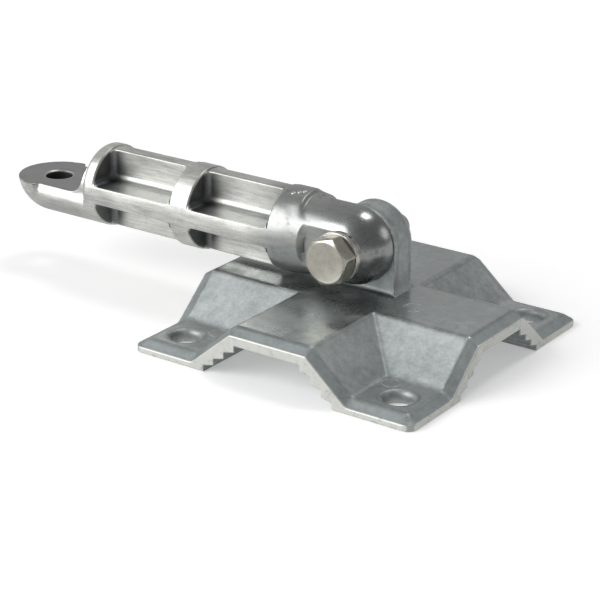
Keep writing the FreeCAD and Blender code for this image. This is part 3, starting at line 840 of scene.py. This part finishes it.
# A turned tool: radius and place along an axis, swept round it. The axis passes through `centre`
def turned(radii, places, centre, upright, count=64):
    turn = np.linspace(0, 2 * math.pi, count, endpoint=False)
    r = np.array(radii, float)[:, None]
    p = np.array(places, float)[:, None] + 0 * turn
    if upright:
        return np.stack([centre[0] + r * np.cos(turn), centre[1] + r * np.sin(turn), p], -1)
    return np.stack([centre[0] + r * np.cos(turn), p, centre[2] + r * np.sin(turn)], -1)


def eyeCutter():
    level = hinge[2] + arm["eyeFlat"]
    low = armLow[2] - 2
    turn = np.linspace(math.radians(6), math.pi / 2, 11)
    radii = list(arm["eyeBore"] + arm["eyeRound"] * (1 - np.sin(turn)))
    places = list(level - arm["eyeSink"] * (1 - np.cos(turn)))
    tool = Shape()
    radii = [0, radii[0] + 0.3, radii[0] + 0.1] + radii + [arm["eyeBore"], 0]
    places = [level + 2, level + 2, level + 0.05] + places + [low, low]
    tool.add(turned(radii, places, (arm["eye"], 0, 0), True), wrapColumns=True)
    return tool


def pivotCutter():
    seat = arm["seatFace"]
    lap = arm["lapFace"]
    bore = arm["pivotBore"]
    edge = 0.35
    radii = [0, bore + edge + 0.5, bore + edge, bore, bore, bore + edge, bore + edge + 0.5, 0]
    places = [seat - 3, seat - 0.5, seat, seat + edge, lap - edge, lap, lap + 0.5, lap + 3]
    tool = Shape()
    tool.add(turned(radii, places, (0, 0, hinge[2]), False), wrapColumns=True)
    return tool


# A small raised dot on the collar: half a ball, flattened
def raisedDot(x, tilt, size, height):
    out = np.array([0, math.sin(tilt), math.cos(tilt)])
    along = np.array([1.0, 0, 0])
    across = np.cross(out, along)
    turn = np.linspace(0, 2 * math.pi, 16, endpoint=False)[None, :, None]
    rise = np.linspace(-math.pi / 2, math.pi / 2, 9)[:, None, None]
    centre = np.array([x, 0, hinge[2]]) + out * (arm["radius"] - 0.05)
    flat = (along * np.cos(turn) + across * np.sin(turn)) * size * np.cos(rise)
    return centre + flat + out * height * np.sin(rise)


def makeArm():
    shape = Shape()
    shape.add(armGrid(), wrapColumns=True)
    bar = newPiece("tie_bar", shape, (eyeCutter(), pivotCutter()))
    settle(bar, "arm", armMetal, "arm_casting", "tie_arm")
    dots = Shape()
    for x, tilt in arm["dots"]:
        dots.add(raisedDot(x, tilt, arm["dotSize"], arm["dotHeight"]), wrapColumns=True)
    settle(newPiece("collar_dots", dots), "arm", armMetal, "arm_casting", "tie_arm")


makeArm()


# Bolt, washers and nut, turned about the hinge axis
boltMetal = steelFinish("stainless_bolt", (0.53, 0.51, 0.445), (0.40, 0.385, 0.335), 0.30)
washerMetal = steelFinish("stainless_washer", (0.62, 0.61, 0.57), (0.48, 0.465, 0.43), 0.24)
springMetal = steelFinish("spring_steel", (0.40, 0.39, 0.375), (0.28, 0.27, 0.26), 0.32)
nylonPlastic = nylonFinish()
print("steel and nylon finishes ready")
bolt = {
    "flats": 6.5, "head": 5.3, "disc": 6.15, "chamfer": 0.577, "dimple": 2.4, "dimpleDepth": 0.16,
    "shank": 4.0, "threadRoot": 3.39, "pitch": 1.25, "threadStart": 10.5, "tilt": math.radians(15),
    "edge": 0.18, "count": 192, "lip": 0.03, "bearing": 5.9,
}
washer = {"gap": 0.25, "edge": 0.28}
spring = {"outer": 7.05, "climb": 0.22, "edge": 0.22, "gap": math.radians(9), "start": math.radians(62)}
nut = {"hexEnd": 4.5, "disc": 5.4, "slope": 0.5, "mouth": 4.4, "collar": 5.8, "bore": 3.6, "crown": 0.7,
       "thread": 4.02, "tilt": 0.35, "ringGap": 0.01, "ringEdge": 0.15}
boltLow, boltHigh = boxOf("hinge_bolt")
nutLow, nutHigh = boxOf("lock_nut")


# Distance from the middle of a hexagon to its side, with slightly rounded corners
def hexReach(turn, flats, tilt):
    part = math.pi / 3
    away = (turn - tilt + 0.5 * part) % part - 0.5 * part
    away = np.abs(np.abs(away) - 0.5 * part)
    return softMin(flats / np.cos(away), np.full_like(turn, flats / math.cos(part / 2) - 0.10), 0.12)


def aroundHinge(radius, along, turn):
    return np.stack([radius * np.cos(turn), along + 0 * turn, hinge[2] + radius * np.sin(turn)], -1)


def makeBolt():
    turn = np.linspace(0, 2 * math.pi, bolt["count"], endpoint=False)
    front = boltLow[1]
    back = front + bolt["head"]
    side = hexReach(turn, bolt["flats"], bolt["tilt"])
    grid = []

    def row(radius, along):
        grid.append(aroundHinge(radius + 0 * turn, along + 0 * turn, turn))

    dimple = bolt["dimple"]
    for share in (0.02, 0.3, 0.55, 0.75, 0.9, 1.0, 1.1):
        row(dimple * share, front + bolt["dimpleDepth"] * (1 - float(ease(share, 0.35, 1.1))))
    for radius in np.linspace(dimple * 1.2, bolt["disc"] - 0.1, 6):
        row(radius, front)
    # the chamfer falls away as a cone, so it meets the six sides in shallow arcs
    for share in (0.0, 0.12, 0.3, 0.5, 0.7, 0.85, 0.94):
        radius = bolt["disc"] + (side - bolt["edge"] - bolt["disc"]) * share
        row(radius, front + (radius - bolt["disc"]) * bolt["chamfer"] + bolt["lip"])
    outer = side - bolt["edge"]
    lip = front + (outer - bolt["disc"]) * bolt["chamfer"] + bolt["lip"]
    for bend in np.linspace(0.2, math.pi / 2, 5):
        row(outer + bolt["edge"] * math.sin(bend), lip + bolt["edge"] * (1.2 - math.cos(bend)))
    for share in np.linspace(0.1, 0.9, 7):
        row(side, lip + bolt["edge"] * 1.2 + (back - 0.35 - lip - bolt["edge"] * 1.2) * share)
    row(side - 0.02, back - 0.30)
    row(side - 0.2, back - 0.12)
    # a plain bearing face stands a little proud of the head's back
    bearing = bolt["bearing"]
    row(np.minimum(side - 0.5, bearing + 0.1), back - 0.10)
    row(bearing + 0.05, back - 0.08)
    row(bearing, back)
    row(bolt["shank"] + 0.25, back)
    row(bolt["shank"], back + 0.25)
    thread = nutLow[1] - 2.0
    row(bolt["shank"], back + 2)
    row(bolt["shank"], thread - 0.5)
    end = boltHigh[1]
    for along in np.arange(thread, end - 0.9, bolt["pitch"] / 10):
        phase = (along / bolt["pitch"] - turn / (2 * math.pi)) % 1
        groove = np.clip(np.abs(2 * phase - 1) * 1.25 - 0.12, 0, 1)
        depth = (bolt["shank"] - bolt["threadRoot"]) * (1 - groove) * float(ease(along, thread, thread + 1))
        row(bolt["shank"] - depth, along)
    row(bolt["threadRoot"] + 0.15, end - 0.55)
    row(bolt["threadRoot"] - 0.1, end - 0.05)
    row(bolt["threadRoot"] - 0.3, end)
    row(0.02, end)
    shape = Shape()
    shape.add(np.array(grid), wrapColumns=True)
    for cap in (grid[0], grid[-1]):
        middle = cap.mean(axis=0) + 0 * cap
        shape.add(np.array([cap, middle]), wrapColumns=True)
    piece = newPiece("bolt", shape)
    settle(piece, "foot", boltMetal, "stainless", "hinge_bolt")


# A flat ring with rounded edges: its section is a closed loop carried round the hinge axis
def ringGrid(inner, outer, low, high, edge, count=96):
    turn = np.linspace(0, 2 * math.pi, count, endpoint=False)
    section = ringSection(inner, outer, low, high, edge)
    return np.array([aroundHinge(radius + 0 * turn, along + 0 * turn, turn) for radius, along in section])


def ringSection(inner, outer, low, high, edge):
    section = []
    corners = ((outer - edge, high - edge, 0), (inner + edge, high - edge, 1), (inner + edge, low + edge, 2),
               (outer - edge, low + edge, 3))
    for radius, along, quarter in corners:
        for bend in np.linspace(0, math.pi / 2, 4) + quarter * math.pi / 2:
            section.append((radius + edge * math.cos(bend), along + edge * math.sin(bend)))
    return section


def makeWasher(name, node, finish):
    low, high = boxOf(node)
    shape = Shape()
    inner = bolt["shank"] + washer["gap"]
    shape.add(ringGrid(inner, high[0], low[1], high[1], washer["edge"]), True, True)
    piece = newPiece(name, shape)
    settle(piece, "foot", finish, "stainless", node)


# The split ring: its section is carried most of a turn while it climbs a little along the axis
def makeSpring():
    low, high = boxOf("spring_washer")
    climb = spring["climb"]
    start = spring["start"] + spring["gap"] / 2
    turn = np.linspace(start, start + 2 * math.pi - spring["gap"], 110)
    rise = np.linspace(0, climb, len(turn))
    inner = bolt["shank"] + washer["gap"]
    section = ringSection(inner, spring["outer"], low[1], high[1] - climb, spring["edge"])
    grid = np.array([aroundHinge(radius + 0 * turn, along + rise, turn) for radius, along in section])
    shape = Shape()
    shape.add(grid, wrapRows=True)
    for end in (grid[:, 0], grid[:, -1]):
        middle = end.mean(axis=0) + 0 * end
        shape.add(np.array([end, middle]), wrapColumns=True)
    piece = newPiece("split_washer", shape)
    settle(piece, "foot", springMetal, "stainless", "spring_washer")


def makeNut():
    turn = np.linspace(0, 2 * math.pi, bolt["count"], endpoint=False)
    low = nutLow[1]
    side = hexReach(turn, bolt["flats"], nut["tilt"])
    ringLow, ringHigh = boxOf("lock_ring")
    disc = nut["disc"]
    slope = nut["slope"]
    hexEnd = nut["hexEnd"]
    grid = []

    def row(radius, along):
        grid.append(aroundHinge(radius + 0 * turn, low + along + 0 * turn, turn))

    row(nut["mouth"], 0)
    row(disc, 0)
    for share in (0.3, 0.6, 0.9):
        radius = disc + (side - disc) * share
        row(radius, (radius - disc) * slope)
    row(side, (side - disc) * slope + 0.05)
    for share in (0.2, 0.4, 0.6, 0.8):
        row(side, hexEnd * share)
    row(side, hexEnd - (side - disc) * slope - 0.05)
    for share in (0.9, 0.6, 0.3):
        radius = disc + (side - disc) * share
        row(radius, hexEnd - (radius - disc) * slope)
    collar = nut["collar"]
    row(collar + 0.1, hexEnd - 0.02)
    row(collar, hexEnd + 0.25)
    top = nutHigh[1] - low
    row(collar, top - 0.9)
    crown = nut["crown"]
    for bend in quarter(6):
        row(collar - crown + crown * math.cos(bend), top - crown + crown * math.sin(bend))
    row(nut["bore"] + 1.0, top)
    row(nut["bore"] + 0.9, top - 0.25)
    # the groove that holds the nylon ring, then the threaded bore
    row(nut["bore"] + 0.95, ringHigh[1] - low)
    row(ringHigh[0], ringHigh[1] - low)
    row(ringHigh[0], ringLow[1] - low)
    row(nut["thread"], ringLow[1] - low)
    row(nut["thread"], 0.4)
    shape = Shape()
    shape.add(np.array(grid), True, True)
    piece = newPiece("nut", shape)
    settle(piece, "foot", boltMetal, "stainless", "lock_nut")
    gap = nut["ringGap"]
    ring = Shape()
    ring.add(ringGrid(bolt["shank"] + gap, ringHigh[0] - 2 * gap, ringLow[1] + gap, ringHigh[1] - gap,
                      nut["ringEdge"]), True, True)
    settle(newPiece("nylon_ring", ring), "foot", nylonPlastic, "nylon", "lock_ring")


makeBolt()
makeWasher("plain_washer", "head_washer", washerMetal)
makeWasher("back_washer", "nut_washer", washerMetal)
makeSpring()
makeNut()
print("pieces done")


# Floor, light and camera. Each light has its direction, its spread in degrees and its strength
studio = {
    "floorSize": 12.0, "floorColour": 0.90, "floorSeen": 0.50, "floorGlow": 0.31,
    "roomPale": 0.50, "roomDim": 0.22, "dimSide": (0.7, 0.0, 0.5), "dimFull": 0.7,
    "aim": (-0.01725, -0.00616, 0.00974), "camera": (0.28986, -0.45307, 0.22676),
    "lens": 118.26, "sensor": 36, "roll": 0.71,
    "lights": {
        "front_left": ((-0.52, -0.72, 0.46), 50, 2.1),
        "overhead": ((0.07, 0.37, 0.93), 17, 0.5),
        "right_back": ((0.74, 0.56, 0.38), 24, 0.16),
    },
}


def makeFloor():
    half = studio["floorSize"] / 2
    floorMesh = bpy.data.meshes.new("floor")
    corners = [(-half, -half, 0), (half, -half, 0), (half, half, 0), (-half, half, 0)]
    floorMesh.from_pydata(corners, [], [(0, 1, 2, 3)])
    floor = bpy.data.objects.new("floor", floorMesh)
    bpy.context.scene.collection.objects.link(floor)
    paint = bpy.data.materials.new("pale_floor")
    paint.use_nodes = True
    surface = paint.node_tree.nodes["Principled BSDF"]
    surface.inputs["Roughness"].default_value = 0.9
    surface.inputs["Emission Color"].default_value = grey(1)
    surface.inputs["Emission Strength"].default_value = studio["floorGlow"]
    # the floor is greyer where the metal mirrors it, as beyond a small light table
    path = paint.node_tree.nodes.new("ShaderNodeLightPath")
    pale = paint.node_tree.nodes.new("ShaderNodeMix")
    pale.data_type = "RGBA"
    pale.inputs[6].default_value = grey(studio["floorColour"])
    pale.inputs[7].default_value = grey(studio["floorSeen"])
    paint.node_tree.links.new(path.outputs["Is Glossy Ray"], pale.inputs[0])
    paint.node_tree.links.new(pale.outputs[2], surface.inputs["Base Color"])
    surface.inputs["Specular IOR Level"].default_value = 0.1
    floorMesh.materials.append(paint)


# A large soft light far off in a direction: it lights the floor evenly, near and far
def softLight(name, direction, spread, power):
    light = bpy.data.lights.new(name, "SUN")
    light.angle = math.radians(spread)
    light.energy = power
    lamp = bpy.data.objects.new(name, light)
    bpy.context.scene.collection.objects.link(lamp)
    lamp.rotation_mode = "QUATERNION"
    lamp.rotation_quaternion = Vector(direction).normalized().to_track_quat("Z", "Y")


# The room: pale to the left and low down, dim overhead and to the right; plain white as a backdrop
def makeRoom():
    world = bpy.data.worlds.new("room")
    bpy.context.scene.world = world
    world.use_nodes = True
    tree = world.node_tree
    tree.nodes.clear()
    out = tree.nodes.new("ShaderNodeOutputWorld")
    where = tree.nodes.new("ShaderNodeTexCoord")
    slant = tree.nodes.new("ShaderNodeVectorMath")
    slant.operation = "DOT_PRODUCT"
    slant.inputs[1].default_value = studio["dimSide"]
    ramp = tree.nodes.new("ShaderNodeValToRGB")
    ramp.color_ramp.elements[0].position = 0.0
    ramp.color_ramp.elements[0].color = grey(studio["roomPale"])
    ramp.color_ramp.elements[1].position = studio["dimFull"]
    ramp.color_ramp.elements[1].color = grey(studio["roomDim"])
    soft = tree.nodes.new("ShaderNodeBackground")
    plain = tree.nodes.new("ShaderNodeBackground")
    plain.inputs["Color"].default_value = grey(1)
    path = tree.nodes.new("ShaderNodeLightPath")
    mix = tree.nodes.new("ShaderNodeMixShader")
    link = tree.links.new
    link(where.outputs["Generated"], slant.inputs[0])
    link(slant.outputs["Value"], ramp.inputs["Fac"])
    link(ramp.outputs["Color"], soft.inputs["Color"])
    link(path.outputs["Is Camera Ray"], mix.inputs[0])
    link(soft.outputs[0], mix.inputs[1])
    link(plain.outputs[0], mix.inputs[2])
    link(mix.outputs[0], out.inputs["Surface"])


def makeCamera():
    lens = bpy.data.cameras.new("camera")
    lens.lens = studio["lens"]
    lens.sensor_width = studio["sensor"]
    lens.clip_start = 0.01
    camera = bpy.data.objects.new("camera", lens)
    bpy.context.scene.collection.objects.link(camera)
    camera.location = studio["camera"]
    back = Vector(studio["camera"]) - Vector(studio["aim"])
    camera.rotation_mode = "QUATERNION"
    turn = Quaternion((0, 0, 1), math.radians(studio["roll"]))
    camera.rotation_quaternion = back.to_track_quat("Z", "Y") @ turn
    bpy.context.scene.camera = camera


makeFloor()
makeRoom()
for name, (direction, spread, power) in studio["lights"].items():
    softLight(name, direction, spread, power)
makeCamera()
bpy.context.scene.view_settings.view_transform = "Standard"
print("light and camera set")
